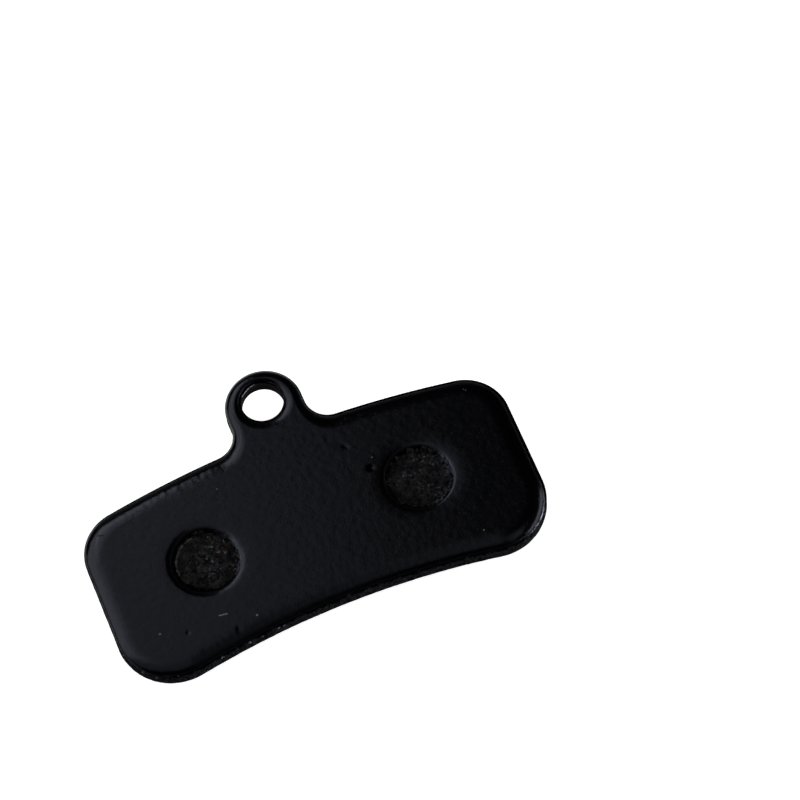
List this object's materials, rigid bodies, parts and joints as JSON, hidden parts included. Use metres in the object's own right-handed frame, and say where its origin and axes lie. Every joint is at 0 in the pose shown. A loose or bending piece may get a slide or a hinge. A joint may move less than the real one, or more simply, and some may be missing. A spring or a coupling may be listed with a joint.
{
  "type": "bicycle disc brake pad",
  "caption": "Arched bicycle disc brake pad: black stamped steel backing plate with a pin ear, and a resin friction lining keyed through the plate.",
  "frame": {"origin": "middle of the friction face, on the pad's centre line", "axes": "+X along the pad, +Y away from the wheel axle towards the ear, +Z from the friction face to the back of the plate"},
  "size_m": [0.042, 0.0262, 0.0039],
  "materials": {
    "plate_paint": "semi-gloss black paint with a fine orange-peel texture over stamped steel",
    "lining_compound": "ground resin compound, warm brown-grey with metal flecks and grinding lines"
  },
  "bodies": {
    "root": {"backing_plate": "plate_paint", "friction_lining": "lining_compound"}
  },
  "joints": []
}
